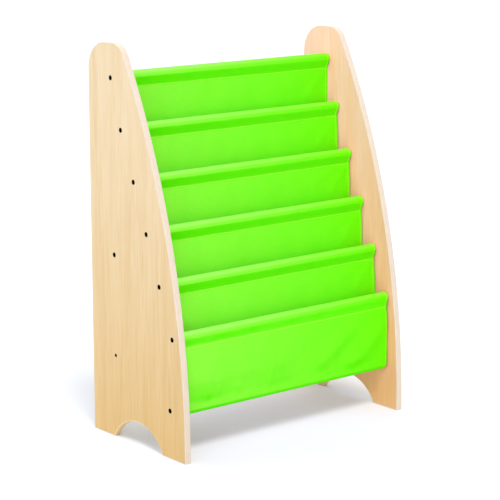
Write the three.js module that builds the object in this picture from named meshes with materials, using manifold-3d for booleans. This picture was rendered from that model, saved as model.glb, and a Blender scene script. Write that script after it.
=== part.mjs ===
// A child's sling bookshelf: two laminated side panels, nine round rods screwed between them, and a cloth
// sling that hangs from the six front rods and makes five book pockets and a flat front apron.
// Millimetres, +Z up. +X is the shelf's right side and +Y its rear. The origin is on the floor at the middle.

import * as THREE from 'three';
import { mergeVertices } from 'three/addons/utils/BufferGeometryUtils.js';
import Module from 'manifold-3d';

const wasm = await Module();
wasm.setup();

// Whole shelf
const shelfWidth = 660;
const panelDepth = 352;
const panelHeight = 911;
const seatGap = 0.3;
const cutOverrun = 2;

// Side panels, seen from the side
const panelThickness = 16;
const edgeBandThickness = 2;
const frontPlumbHeight = 11;
const frontTopRadius = 42;
const rearTopRadius = 63;
const topFlatLength = 33.8;
const frontFootLength = 83;
const rearFootLength = 81;
const archHeight = 55;

// Rods
const rodRadius = 11;
const railCount = 6;
const lowestRailDepth = 45.2;
const lowestRailHeight = 275.6;
const railLineInset = 76.3;
const railLineDrop = 80.4;
const topRailForward = 10;
const topRailLift = 2.7;
const bottomRodSetback = 9.8;
const bottomRodDrop = 164.6;
const rearRodInset = 91;
const upperRearRodHeight = 431;
const lowerRearRodHeight = 195;

// Screws: the wide one holds eight rods, the slim one the lower rear rod
const wideScrew = {
  headRadius: 5.75, headRim: 0.7, headDepth: 3.4, shankRadius: 3.3, length: 50, pointLength: 4,
  socketRadius: 2.3, socketDepth: 2.2,
};
const slimScrew = {
  headRadius: 4, headRim: 0.5, headDepth: 2.4, shankRadius: 2.2, length: 45, pointLength: 3,
  socketRadius: 1.6, socketDepth: 1.6,
};
const pilotSpareDepth = 2;

// Cloth sling
const clothThickness = 1.6;
const clothSideGap = 2.2;
const seamDrop = 21.5;
const seamForward = 4.5;
const seamAllowance = 12;
const pocketDrop = 105;
const pocketBackSetback = 30;
const pocketFrontSetback = 2;
const pocketSag = 5;
const pocketRipple = 1.2;
const rippleWaves = 3;

// Front apron
const apronSeamForward = 10.5;
const apronSeamDrop = 24;
const apronCornerRadius = 8;
const tunnelRise = 40;
const apronFold = 1.6;
const apronFoldWaves = 2.5;

// Smoothness
const arcPieces = 9;
const rodSides = 18;
const screwSides = 12;
const socketSides = 6;
const clothSteps = 6;
const mitreLimitShare = 0.5;

const sleeveInnerRadius = rodRadius + seatGap;
const sleeveOuterRadius = sleeveInnerRadius + clothThickness;
const clothWidth = shelfWidth - 2 * (panelThickness + clothSideGap);
const rodLength = shelfWidth - 2 * (panelThickness + seatGap);

// Every outline is drawn in the side view: x is the depth, rear positive, y is the height, z the width
const frontLine = -panelDepth / 2;
const place = (depth, height) => new THREE.Vector2(frontLine + depth, height);

// The rails climb in even steps along a straight line, and the top one sits a little forward of it
const railSetback = (panelDepth - railLineInset - lowestRailDepth) / (railCount - 1);
const railRise = (panelHeight - railLineDrop - lowestRailHeight) / (railCount - 1);

function railPlace(number) {
  const stepsUp = railCount - number;
  const forward = number === 1 ? topRailForward : 0;
  const lift = number === 1 ? topRailLift : 0;
  return place(
    lowestRailDepth + stepsUp * railSetback - forward,
    lowestRailHeight + stepsUp * railRise + lift,
  );
}

const rails = Array.from({ length: railCount }, (_, index) => railPlace(index + 1));
const bottomRod = place(lowestRailDepth + bottomRodSetback, lowestRailHeight - bottomRodDrop);
const rearRodDepth = panelDepth - rearRodInset;

const rods = [
  ...rails.map((axis, index) => ({ name: `sling_rod_${index + 1}`, axis, screw: wideScrew })),
  { name: 'bottom_front_rod', axis: bottomRod, screw: wideScrew },
  { name: 'upper_rear_rod', axis: place(rearRodDepth, upperRearRodHeight), screw: wideScrew },
  { name: 'lower_rear_rod', axis: place(rearRodDepth, lowerRearRodHeight), screw: slimScrew },
];

const finishes = {
  laminate: { color: 0xecd2a6, roughness: 0.5, metalness: 0 },
  edgeBand: { color: 0xf6e7d8, roughness: 0.45, metalness: 0 },
  rodWood: { color: 0xe2c190, roughness: 0.6, metalness: 0 },
  blackSteel: { color: 0x121316, roughness: 0.4, metalness: 0.8 },
  limeCloth: { color: 0x74f42c, roughness: 0.85, metalness: 0 },
};

// Solids and geometries
function toSolid(geometry) {
  const bare = geometry.clone();
  bare.deleteAttribute('normal');
  bare.deleteAttribute('uv');
  const merged = mergeVertices(bare);
  return new wasm.Manifold(new wasm.Mesh({
    numProp: 3,
    vertProperties: merged.attributes.position.array,
    triVerts: new Uint32Array(merged.index.array),
  }));
}

function toGeometry(solid) {
  const mesh = solid.getMesh();
  const geometry = new THREE.BufferGeometry();
  geometry.setAttribute('position', new THREE.BufferAttribute(mesh.vertProperties, mesh.numProp));
  geometry.setIndex(new THREE.BufferAttribute(mesh.triVerts, 1));
  geometry.computeVertexNormals();
  return geometry;
}

function extrude(shape, width, steps = 1) {
  const geometry = new THREE.ExtrudeGeometry(shape, {
    depth: width, steps, bevelEnabled: false, curveSegments: arcPieces,
  });
  geometry.translate(0, 0, -width / 2);
  return geometry;
}

// A turned solid whose profile holds (radius, place along the axis), with the axis along z
function turned(profile, sides) {
  const points = profile.map(([radius, along]) => new THREE.Vector2(radius, along));
  return new THREE.LatheGeometry(points, sides).rotateX(Math.PI / 2);
}

const model = new THREE.Group();
const sideView = new THREE.Group();
sideView.setRotationFromMatrix(new THREE.Matrix4().makeBasis(
  new THREE.Vector3(0, 1, 0), new THREE.Vector3(0, 0, 1), new THREE.Vector3(1, 0, 0),
));
model.add(sideView);

function addPiece(name, geometry, finish) {
  const mesh = new THREE.Mesh(geometry, new THREE.MeshStandardMaterial(finish));
  mesh.name = name;
  sideView.add(mesh);
  return mesh;
}

// Side panel outline, drawn inwards by an inset so that board and edge band share it
function drawPanel(path, inset) {
  const rearCorner = place(panelDepth - rearTopRadius, panelHeight - rearTopRadius);
  const topCorner = place(panelDepth - rearTopRadius - topFlatLength, panelHeight - frontTopRadius);
  const cornerDepth = topCorner.x - frontLine;
  const cornerRise = topCorner.y - frontPlumbHeight;
  const frontCurveRadius = (cornerDepth ** 2 + cornerRise ** 2 - frontTopRadius ** 2)
    / (2 * (cornerDepth - frontTopRadius));
  const front = place(frontCurveRadius, frontPlumbHeight);
  const joinAngle = Math.atan2(topCorner.y - front.y, topCorner.x - front.x);
  const rearLine = frontLine + panelDepth - inset;

  const archSpan = panelDepth - frontFootLength - rearFootLength;
  const archRadius = (archSpan ** 2 / 4 + archHeight ** 2) / (2 * archHeight);
  const archCentre = place(frontFootLength + archSpan / 2, archHeight - archRadius);
  const archCut = archRadius + inset;
  const archAngle = Math.asin((inset - archCentre.y) / archCut);

  path.absarc(front.x, front.y, frontCurveRadius - inset, Math.PI, joinAngle, true);
  path.absarc(topCorner.x, topCorner.y, frontTopRadius - inset, joinAngle, Math.PI / 2, true);
  path.absarc(rearCorner.x, rearCorner.y, rearTopRadius - inset, Math.PI / 2, 0, true);
  path.lineTo(rearLine, inset);
  path.absarc(archCentre.x, archCentre.y, archCut, archAngle, Math.PI - archAngle, false);
  path.lineTo(frontLine + inset, inset);
  path.closePath();
  return path;
}

// Screws, the holes that take them, and the bores in the rods' ends
function screwGeometry(screw) {
  const body = toSolid(turned([
    [0, 0],
    [screw.headRadius, 0],
    [screw.headRadius, screw.headRim],
    [screw.shankRadius, screw.headDepth],
    [screw.shankRadius, screw.length - screw.pointLength],
    [0, screw.length],
  ], screwSides));
  const socket = new THREE.CylinderGeometry(
    screw.socketRadius, screw.socketRadius, 2 * screw.socketDepth, socketSides,
  ).rotateX(Math.PI / 2);
  return toGeometry(body.subtract(toSolid(socket)));
}

function screwHole(screw) {
  return turned([
    [0, -cutOverrun],
    [screw.headRadius + seatGap, -cutOverrun],
    [screw.headRadius + seatGap, screw.headRim],
    [screw.shankRadius + seatGap, screw.headDepth],
    [screw.shankRadius + seatGap, panelThickness + cutOverrun],
    [0, panelThickness + cutOverrun],
  ], screwSides);
}

// Puts something modelled from a panel's outer face inwards on the left (-1) or right (1) side
function setOnSide(geometry, axis, side) {
  if (side > 0) geometry.rotateX(Math.PI);
  return geometry.translate(axis.x, axis.y, side * shelfWidth / 2);
}

function sidePanel(side) {
  const inset = edgeBandThickness + seatGap;
  const board = extrude(drawPanel(new THREE.Shape(), inset), panelThickness);
  board.translate(0, 0, side * (shelfWidth - panelThickness) / 2);
  return toGeometry(rods.reduce(
    (solid, { axis, screw }) => solid.subtract(toSolid(setOnSide(screwHole(screw), axis, side))),
    toSolid(board),
  ));
}

function edgeBand(side) {
  const whole = toSolid(extrude(drawPanel(new THREE.Shape(), 0), panelThickness));
  const inner = drawPanel(new THREE.Shape(), edgeBandThickness);
  const ring = whole.subtract(toSolid(extrude(inner, panelThickness + 2 * cutOverrun)));
  return toGeometry(ring).translate(0, 0, side * (shelfWidth - panelThickness) / 2);
}

function rodGeometry(screw) {
  const half = rodLength / 2;
  const bore = screw.shankRadius + seatGap;
  const boreFloor = half - (screw.length - panelThickness) - pilotSpareDepth;
  return turned([
    [0, -boreFloor],
    [bore, -boreFloor],
    [bore, -half],
    [rodRadius, -half],
    [rodRadius, half],
    [bore, half],
    [bore, boreFloor],
    [0, boreFloor],
  ], rodSides);
}

// Cloth: a strip of even thickness along a path in the side view
function ribbon(path) {
  const points = path.getPoints(arcPieces).filter(
    (point, index, all) => index === 0 || point.distanceTo(all[index - 1]) > seatGap,
  );
  const shifted = (sign) => points.map((point, index) => {
    const before = points[Math.max(index - 1, 0)];
    const after = points[Math.min(index + 1, points.length - 1)];
    const into = point.clone().sub(before).normalize();
    const along = after.clone().sub(before).normalize();
    const mitre = index === 0 ? 1 : 1 / Math.max(along.dot(into), mitreLimitShare);
    const sideways = new THREE.Vector2(-along.y, along.x);
    return point.clone().addScaledVector(sideways, sign * mitre * clothThickness / 2);
  });
  return new THREE.Shape([...shifted(-1), ...shifted(1).reverse()]);
}

// A sleeve's outline: round over the rod, with straight flanks that close at the seam
function drop(path, axis, radius, seam) {
  const seamAngle = Math.atan2(seam.y, seam.x);
  const flankAngle = Math.acos(radius / seam.length());
  path.absarc(
    axis.x, axis.y, radius, seamAngle + flankAngle, seamAngle - flankAngle + 2 * Math.PI, false,
  );
  path.lineTo(axis.x + seam.x, axis.y + seam.y);
  path.closePath();
  return path;
}

function sleeve(axis, seam) {
  const outline = drop(new THREE.Shape(), axis, sleeveOuterRadius, seam);
  const innerSeam = seam.clone().multiplyScalar(sleeveInnerRadius / sleeveOuterRadius);
  outline.holes.push(drop(new THREE.Path(), axis, sleeveInnerRadius, innerSeam));
  return extrude(outline, clothWidth);
}

// The middle of the cloth that a sleeve's seam is made of, where the hanging cloth starts
function seamRoot(axis, seam) {
  const middleShare = (1 + sleeveInnerRadius / sleeveOuterRadius) / 2;
  return axis.clone().addScaledVector(seam, middleShare);
}

// Moves each point of a strip by a rule that takes its height and its place across the width
function drape(geometry, rule) {
  const points = geometry.attributes.position;
  for (let index = 0; index < points.count; index += 1) {
    const across = 2 * points.getZ(index) / clothWidth;
    const [depth, height] = rule(points.getY(index), across);
    points.setX(index, points.getX(index) + depth);
    points.setY(index, points.getY(index) + height);
  }
  return geometry;
}

const pocketSeam = new THREE.Vector2(-seamForward, -seamDrop);
const apronSeam = new THREE.Vector2(-apronSeamForward, -apronSeamDrop);
const seamOf = (number) => (number === railCount ? apronSeam : pocketSeam);

// Pocket: the sleeve on its own rod, the back wall, the round bottom and the front ply up to the next seam
function pocket(number) {
  const axis = rails[number - 1];
  const nextAxis = rails[number];
  const nextSeam = nextAxis.clone().add(seamOf(number + 1));
  const back = nextAxis.x + pocketBackSetback;
  const front = nextAxis.x + pocketFrontSetback;
  const bottomRadius = (back - front) / 2;
  const bottomHeight = nextAxis.y - pocketDrop + bottomRadius;
  const plyLine = nextSeam.x + clothThickness + seatGap;

  const start = seamRoot(axis, pocketSeam);
  const path = new THREE.Path().moveTo(start.x, start.y);
  path.lineTo(back, bottomHeight);
  path.absarc(back - bottomRadius, bottomHeight, bottomRadius, 0, -Math.PI, true);
  path.lineTo(plyLine, nextSeam.y - seamAllowance);
  path.lineTo(plyLine, nextSeam.y - clothThickness);

  const hang = nextSeam.y - seamAllowance;
  const rule = (height, across) => {
    const lowShare = Math.max(hang - height, 0) / (hang - bottomHeight);
    const sag = pocketSag * Math.cos(across * Math.PI / 2);
    const ripple = pocketRipple * Math.cos(across * rippleWaves * Math.PI);
    return [-ripple * lowShare, -sag * lowShare];
  };
  const hanging = drape(extrude(ribbon(path), clothWidth, clothSteps), rule);
  return toGeometry(toSolid(sleeve(axis, pocketSeam)).add(toSolid(hanging)));
}

// Apron: the sleeve on the lowest rail, the plumb front sheet, and the loose tunnel round the bottom rod
function apron() {
  const axis = rails[railCount - 1];
  const sheetLine = axis.x - sleeveOuterRadius + clothThickness / 2;
  const wrapRadius = sleeveInnerRadius + clothThickness / 2;
  const underside = bottomRod.y - wrapRadius;
  const corner = new THREE.Vector2(sheetLine + apronCornerRadius, underside + apronCornerRadius);
  const tunnelTop = new THREE.Vector2(sheetLine, bottomRod.y + tunnelRise);
  const toTop = tunnelTop.clone().sub(bottomRod);
  const leaveAngle = Math.atan2(toTop.y, toTop.x) - Math.acos(wrapRadius / toTop.length());

  const start = seamRoot(axis, apronSeam);
  const sheet = new THREE.Path().moveTo(start.x, start.y);
  sheet.lineTo(sheetLine, axis.y - apronSeamDrop - clothThickness);
  sheet.absarc(corner.x, corner.y, apronCornerRadius, Math.PI, 1.5 * Math.PI, false);
  sheet.absarc(bottomRod.x, bottomRod.y, wrapRadius, -Math.PI / 2, leaveAngle, false);
  const leave = new THREE.Vector2(Math.cos(leaveAngle), Math.sin(leaveAngle)).multiplyScalar(wrapRadius);
  const closing = new THREE.Path().moveTo(bottomRod.x + leave.x, bottomRod.y + leave.y);
  closing.lineTo(tunnelTop.x, tunnelTop.y);

  const seamHeight = axis.y - apronSeamDrop;
  const rule = (height, across) => {
    const share = (seamHeight - height) / (seamHeight - tunnelTop.y);
    const swell = share > 0 && share < 1 ? Math.sin(share * Math.PI) : 0;
    return [-apronFold * swell * Math.cos(across * apronFoldWaves * Math.PI), 0];
  };
  const strip = (path) => toSolid(drape(extrude(ribbon(path), clothWidth, clothSteps), rule));
  return toGeometry(toSolid(sleeve(axis, apronSeam)).add(strip(sheet)).add(strip(closing)));
}

for (const [sideName, side] of [['left', -1], ['right', 1]]) {
  addPiece(`${sideName}_side_panel`, sidePanel(side), finishes.laminate);
  addPiece(`${sideName}_edge_band`, edgeBand(side), finishes.edgeBand);
}

for (const { name, axis, screw } of rods) {
  addPiece(name, rodGeometry(screw), finishes.rodWood).position.set(axis.x, axis.y, 0);
  for (const [sideName, side] of [['left', -1], ['right', 1]]) {
    addPiece(`${name}_screw_${sideName}`, setOnSide(screwGeometry(screw), axis, side), finishes.blackSteel);
  }
}

for (let number = 1; number < railCount; number += 1) {
  addPiece(`sling_pocket_${number}`, pocket(number), finishes.limeCloth);
}
addPiece('front_apron', apron(), finishes.limeCloth);

export default model;
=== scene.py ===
"""Dresses a child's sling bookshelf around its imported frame.

Two maple-look side boards with pale edge bands, nine beech rods with black socket screws, and the
lime cloth that hangs from the six front rods as five book pockets and a flat apron. Metres, +Z up.
+X is the shelf's right side, +Y its rear, and the side view has the depth Y and the height Z.
"""

import bisect
import logging
import math
from collections.abc import Iterable, Sequence
from dataclasses import dataclass, field
from enum import Enum

import bmesh
import bpy
from mathutils import Matrix, Vector, noise


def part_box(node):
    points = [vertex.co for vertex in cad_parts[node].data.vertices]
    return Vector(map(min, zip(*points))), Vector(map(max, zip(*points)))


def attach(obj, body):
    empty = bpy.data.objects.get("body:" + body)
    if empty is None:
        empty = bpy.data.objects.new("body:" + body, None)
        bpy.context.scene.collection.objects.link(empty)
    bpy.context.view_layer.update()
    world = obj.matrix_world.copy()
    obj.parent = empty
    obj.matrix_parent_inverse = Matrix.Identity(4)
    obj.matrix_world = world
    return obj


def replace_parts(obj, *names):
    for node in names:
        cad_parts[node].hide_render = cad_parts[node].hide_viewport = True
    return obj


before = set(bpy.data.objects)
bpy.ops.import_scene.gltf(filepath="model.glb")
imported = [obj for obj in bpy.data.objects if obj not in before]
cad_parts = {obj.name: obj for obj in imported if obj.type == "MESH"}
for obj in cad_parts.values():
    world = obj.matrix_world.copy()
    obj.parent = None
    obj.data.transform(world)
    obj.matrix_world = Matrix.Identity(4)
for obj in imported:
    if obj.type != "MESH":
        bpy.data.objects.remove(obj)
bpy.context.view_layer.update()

BODY = "root"
MM = 0.001
SAME_POINT = 0.001 * MM
FULL_TURN = 2 * math.pi

log = logging.getLogger("bookshelf")

# Short names for the types that the hints repeat

Colour = tuple[int, int, int]
LinearColour = tuple[float, float, float, float]
Material = bpy.types.Material
Piece = bpy.types.Object
Socket = bpy.types.NodeSocket
BMesh, BMEdge, BMVert = bmesh.types.BMesh, bmesh.types.BMEdge, bmesh.types.BMVert


class Side(Enum):
    """The shelf's two sides, each with its sign along X."""

    LEFT = -1
    RIGHT = 1

    @property
    def word(self) -> str:
        """The side's name as the frame's nodes spell it."""
        return self.name.lower()


class Layer(Enum):
    """The two faces of the cloth that a hem's stitches show on, each with its sign."""

    FRONT = 1
    REAR = -1


class Mark(Enum):
    """The places along a cloth's path that its forms are measured from."""

    SEAM = "the front layer of the seam under the sleeve"
    BEND = "the apron's lower corner"
    CLOSURE = "the end of the apron's tunnel"


def linear(colour: Colour) -> LinearColour:
    """Turns a screen colour of 0 to 255 into the linear colour that a shader takes.

    Args:
        colour: its red, green and blue.

    Returns:
        The linear red, green and blue, and a full alpha.
    """
    shares = (value / 255 for value in colour)
    lit = (share / 12.92 if share <= 0.04045 else ((share + 0.055) / 1.055) ** 2.4 for share in shares)
    return (*lit, 1.0)


def smooth_step(low: float, high: float, value: float) -> float:
    """Rises from 0 at low to 1 at high, level at both ends."""
    share = min(max((value - low) / (high - low), 0.0), 1.0)
    return share * share * (3 - 2 * share)


# Finishes


class Tree:
    """The node tree of a material or of the world, with short ways to add nodes and join them."""

    def __init__(self, owner: Material | bpy.types.World) -> None:
        """Empties the node tree.

        Args:
            owner: the material or the world.
        """
        owner.use_nodes = True
        self.node_tree = owner.node_tree
        self.node_tree.nodes.clear()

    def add(self, kind: str, **settings: object) -> bpy.types.Node:
        """Adds a node of a kind and sets its own properties.

        Args:
            kind: the node's Blender type name.
            **settings: properties of the node.

        Returns:
            The new node.
        """
        node = self.node_tree.nodes.new(kind)
        for name, value in settings.items():
            setattr(node, name, value)
        return node

    def join(self, output: Socket, target: Socket) -> None:
        """Links an output socket to an input socket."""
        self.node_tree.links.new(output, target)

    def feed(self, target: Socket, value: object) -> None:
        """Gives an input socket its value.

        Args:
            target: the input socket.
            value: an output socket, which is linked, or a constant, which is set.
        """
        if isinstance(value, Socket):
            self.join(value, target)
        else:
            target.default_value = value

    def coordinates(self, source: str, scale: Sequence[float] = (1, 1, 1)) -> Socket:
        """Gives object or UV coordinates, stretched by a scale on each axis.

        Args:
            source: the Texture Coordinate output, Object or UV.
            scale: the scale along the three axes.

        Returns:
            The mapped vector's socket.
        """
        mapping = self.add("ShaderNodeMapping")
        mapping.inputs["Scale"].default_value = scale
        self.join(self.add("ShaderNodeTexCoord").outputs[source], mapping.inputs["Vector"])
        return mapping.outputs["Vector"]

    def split(self, vector: Socket) -> dict[str, Socket]:
        """Takes a vector apart.

        Args:
            vector: the vector's socket.

        Returns:
            Its X, Y and Z sockets by their names.
        """
        node = self.add("ShaderNodeSeparateXYZ")
        self.join(vector, node.inputs["Vector"])
        return dict(node.outputs.items())

    def noise(self, vector: Socket, scale: float, detail: float = 3, roughness: float = 0.55,
              distortion: float = 0) -> Socket:
        """Adds a noise texture on a vector.

        Args:
            vector: the coordinates' socket.
            scale: how many times finer than the coordinates it is.
            detail: its octaves.
            roughness: how strong the finer octaves are.
            distortion: how far it is warped.

        Returns:
            Its grey value's socket.
        """
        node = self.add("ShaderNodeTexNoise")
        self.join(vector, node.inputs["Vector"])
        settings = {"Scale": scale, "Detail": detail, "Roughness": roughness, "Distortion": distortion}
        for name, number in settings.items():
            node.inputs[name].default_value = number
        return node.outputs["Fac"]

    def ramp(self, value: Socket, stops: Sequence[tuple[float, LinearColour]]) -> Socket:
        """Turns a grey value into a colour.

        Args:
            value: the grey value's socket.
            stops: the ramp's places and their colours, from the lowest.

        Returns:
            The colour's socket.
        """
        node = self.add("ShaderNodeValToRGB")
        elements = node.color_ramp.elements
        elements[0].position, elements[0].color = stops[0]
        elements[1].position, elements[1].color = stops[-1]
        for position, colour in stops[1:-1]:
            elements.new(position).color = colour
        self.join(value, node.inputs["Fac"])
        return node.outputs["Color"]

    def spread(self, value: Socket, low: float, high: float,
               to_low: float = 0, to_high: float = 1) -> Socket:
        """Maps a range of a grey value onto another range, and clamps it there.

        Args:
            value: the grey value's socket.
            low: where the first range starts. It may be above high.
            high: where the first range ends.
            to_low: what low becomes.
            to_high: what high becomes.

        Returns:
            The new value's socket.
        """
        node = self.add("ShaderNodeMapRange")
        self.join(value, node.inputs["Value"])
        for name, number in (("From Min", low), ("From Max", high), ("To Min", to_low), ("To Max", to_high)):
            node.inputs[name].default_value = number
        return node.outputs["Result"]

    def mix(self, share: Socket | float, first: object, second: object, blend: str = "MIX") -> Socket:
        """Mixes two colours, each a socket or a constant.

        Args:
            share: how much of the second shows.
            first: the colour below.
            second: the colour above.
            blend: the blend type.

        Returns:
            The mixed colour's socket.
        """
        # A Mix node has sockets for every data type, and 6, 7 and 2 are the ones for colours
        node = self.add("ShaderNodeMix", data_type="RGBA", blend_type=blend)
        for socket, value in ((node.inputs[0], share), (node.inputs[6], first), (node.inputs[7], second)):
            self.feed(socket, value)
        return node.outputs[2]

    def maths(self, operation: str, first: object, second: object = 0.0) -> Socket:
        """Works out one number from two, each a socket or a constant.

        Args:
            operation: the Math node's operation.
            first: the first number.
            second: the second number, where the operation takes two.

        Returns:
            The result's socket.
        """
        node = self.add("ShaderNodeMath", operation=operation)
        for socket, value in zip(node.inputs, (first, second)):
            self.feed(socket, value)
        return node.outputs["Value"]

    def seen_rays(self) -> Socket:
        """Tells the rays that show a thing to the camera, or in a reflection, or through glass.

        Returns:
            The socket of a number that is 1 for those rays and 0 for others.
        """
        rays = self.add("ShaderNodeLightPath").outputs
        seen = self.maths("MAXIMUM", rays["Is Camera Ray"], rays["Is Glossy Ray"])
        return self.maths("MAXIMUM", seen, rays["Is Transmission Ray"])


class FinishTree(Tree):
    """A finish's material and its node tree, with a Principled shader."""

    def __init__(self, name: str) -> None:
        """Starts the material.

        Args:
            name: its name.
        """
        self.material = bpy.data.materials.new(name)
        super().__init__(self.material)
        self.shader = self.add("ShaderNodeBsdfPrincipled")
        output = self.add("ShaderNodeOutputMaterial")
        self.join(self.shader.outputs["BSDF"], output.inputs["Surface"])

    def colour(self, tint: Socket) -> None:
        """Links a colour to the shader's base colour."""
        self.join(tint, self.shader.inputs["Base Color"])

    def plain(self, **values: object) -> None:
        """Sets constants on the shader's own sockets, with _ for the spaces in their names."""
        for name, value in values.items():
            self.shader.inputs[name.replace("_", " ")].default_value = value

    def bump(self, heights: Iterable[tuple[Socket, float]]) -> None:
        """Lays bumps over each other on the shader's normal.

        Args:
            heights: each bump's height, a grey value, and the metres that it stands for.
        """
        below = None
        for height, distance in heights:
            node = self.add("ShaderNodeBump")
            node.inputs["Distance"].default_value = distance
            self.join(height, node.inputs["Height"])
            if below is not None:
                self.join(below, node.inputs["Normal"])
            below = node.outputs["Normal"]
        self.join(below, self.shader.inputs["Normal"])


@dataclass(frozen=True)
class MapleLaminate:
    """Maple-look melamine: pale upright grain under a dull clear film, with painted shade that makes it
    darker and warmer low down.
    """

    name: str = "maple_laminate"
    pale: Colour = (244, 225, 192)
    middle: Colour = (241, 219, 182)
    warm: Colour = (235, 210, 166)
    # Painted shade: this colour is multiplied in towards the bottom of the board
    painted_low_shade: Colour = (238, 222, 182)
    fibre_shade: Colour = (244, 234, 216)
    grain_stretch: float = 0.055
    fibre_stretch: float = 0.03
    streak_share: float = 0.42
    fibre_share: float = 0.55
    top_height: float = 0.87
    low_height: float = 0.04
    low_curve: float = 1.4
    film_roughness: float = 0.42

    def build(self) -> Material:
        """Makes the material.

        Returns:
            The material, with its grain along Z in object coordinates.
        """
        tree = FinishTree(self.name)
        along = tree.coordinates("Object", (1, 1, self.grain_stretch))
        bands = tree.noise(along, scale=26, detail=2, roughness=0.5, distortion=1.2)
        streaks = tree.noise(along, scale=74, detail=4, roughness=0.6, distortion=0.8)
        fibres = tree.noise(tree.coordinates("Object", (1, 1, self.fibre_stretch)), scale=420)
        wood = tree.ramp(tree.mix(self.streak_share, bands, streaks), [
            (0.34, linear(self.warm)), (0.5, linear(self.middle)), (0.66, linear(self.pale)),
        ])
        # Painted shade: the board is darker and warmer towards the bottom, where less light falls
        height = tree.split(tree.coordinates("Object"))["Z"]
        lowness = tree.maths("POWER", tree.spread(height, self.top_height, self.low_height), self.low_curve)
        wood = tree.mix(lowness, wood, linear(self.painted_low_shade), "MULTIPLY")
        fineness = tree.spread(fibres, low=0.4, high=0.66, to_high=self.fibre_share)
        tree.colour(tree.mix(fineness, wood, linear(self.fibre_shade), "MULTIPLY"))
        tree.plain(Roughness=self.film_roughness, Specular_IOR_Level=0.35, Coat_Weight=0.08,
                   Coat_Roughness=0.3)
        tree.bump([(streaks, 0.02 * MM), (fibres, 0.01 * MM)])
        return tree.material


@dataclass(frozen=True)
class TurnedBeech:
    """Sanded beech with its grain and short flecks along the rod."""

    name: str = "turned_beech"
    pale: Colour = (236, 208, 165)
    warm: Colour = (216, 176, 125)
    fleck: Colour = (203, 158, 108)
    grain_stretch: float = 0.03
    fleck_stretch: float = 0.12
    fleck_share: float = 0.6
    roughness: float = 0.5

    def build(self) -> Material:
        """Makes the material.

        Returns:
            The material, with its grain along X in object coordinates.
        """
        tree = FinishTree(self.name)
        along = tree.coordinates("Object", (self.grain_stretch, 1, 1))
        bands = tree.noise(along, scale=150, detail=4, roughness=0.6, distortion=0.3)
        short = tree.coordinates("Object", (self.fleck_stretch, 1, 1))
        flecks = tree.noise(short, scale=900, detail=1)
        wood = tree.ramp(bands, [(0.35, linear(self.warm)), (0.65, linear(self.pale))])
        flecked = tree.spread(flecks, low=0.62, high=0.74, to_high=self.fleck_share)
        tree.colour(tree.mix(flecked, wood, linear(self.fleck)))
        tree.plain(Roughness=self.roughness, Specular_IOR_Level=0.35)
        tree.bump([(bands, 0.04 * MM), (flecks, 0.03 * MM)])
        return tree.material


@dataclass(frozen=True)
class Mottled:
    """What several finishes share: two shades that one noise mixes, with the same noise as bumps.

    The dark shade reaches up to one grey value of the noise, and the light one starts at another.
    """

    name: str
    dark: Colour
    light: Colour
    scale: float
    dark_until: float = 0.35
    light_from: float = 0.65
    stretch: tuple[float, float, float] = (1, 1, 1)
    detail: float = 3
    noise_roughness: float = 0.55
    relief: float = 0.02 * MM
    roughness: float = 0.5
    specular: float = 0.5
    sheen: float = 0.0

    def build(self) -> Material:
        """Makes the material.

        Returns:
            The material, with its pattern in object coordinates.
        """
        tree = FinishTree(self.name)
        mottle = tree.noise(tree.coordinates("Object", self.stretch), self.scale, self.detail,
                            self.noise_roughness)
        tint = tree.ramp(mottle, [
            (self.dark_until, linear(self.dark)), (self.light_from, linear(self.light)),
        ])
        tree.colour(self.stain(tree, tint))
        tree.plain(Roughness=self.roughness, Specular_IOR_Level=self.specular, Sheen_Weight=self.sheen)
        tree.bump([(mottle, self.relief)])
        return tree.material

    def stain(self, tree: FinishTree, tint: Socket) -> Socket:
        """Changes the colour in places. It changes nothing unless a finish says so."""
        return tint


@dataclass(frozen=True)
class EdgeBandPlastic(Mottled):
    """Pale pinkish cream edging with a faint upright grain, and tan like the board inside the foot arch."""

    name: str = "cream_edge_band"
    dark: Colour = (224, 207, 186)
    light: Colour = (231, 216, 199)
    stretch: tuple[float, float, float] = (1, 1, 0.05)
    scale: float = 260
    roughness: float = 0.36
    specular: float = 0.45
    arch_tan: Colour = (250, 219, 162)
    arch_half_span: float = 94 * MM
    arch_top: float = 58 * MM

    def stain(self, tree: FinishTree, tint: Socket) -> Socket:
        """Turns the band tan inside the arch.

        Args:
            tree: the material's nodes.
            tint: the colour outside the arch.

        Returns:
            The colour's socket.
        """
        place = tree.split(tree.coordinates("Object"))
        between = tree.maths("LESS_THAN", tree.maths("ABSOLUTE", place["Y"]), self.arch_half_span)
        arch = tree.maths("MULTIPLY", between, tree.maths("LESS_THAN", place["Z"], self.arch_top))
        return tree.mix(arch, tint, linear(self.arch_tan))


@dataclass(frozen=True)
class BlackedSteel(Mottled):
    """Blacked screw steel with a dull coat and fine mottling."""

    name: str = "blacked_steel"
    dark: Colour = (2, 2, 2)
    light: Colour = (7, 7, 8)
    dark_until: float = 0.3
    light_from: float = 0.75
    scale: float = 1400
    detail: float = 4
    roughness: float = 0.7
    specular: float = 0.04


@dataclass(frozen=True)
class LimeThread(Mottled):
    """Polyester sewing thread, yellower and shinier than the canvas."""

    name: str = "lime_thread"
    dark: Colour = (214, 246, 60)
    light: Colour = (232, 252, 88)
    scale: float = 1800
    detail: float = 2
    relief: float = 0.04 * MM
    roughness: float = 0.45
    specular: float = 0.45
    sheen: float = 0.2


@dataclass(frozen=True)
class HookTape(Mottled):
    """Hook-and-loop tape in a darker green, with its fuzzy loops as bumps."""

    name: str = "green_tape"
    dark: Colour = (66, 172, 26)
    light: Colour = (96, 205, 40)
    scale: float = 1500
    detail: float = 5
    noise_roughness: float = 0.7
    relief: float = 0.3 * MM
    roughness: float = 0.9
    sheen: float = 0.4


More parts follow.
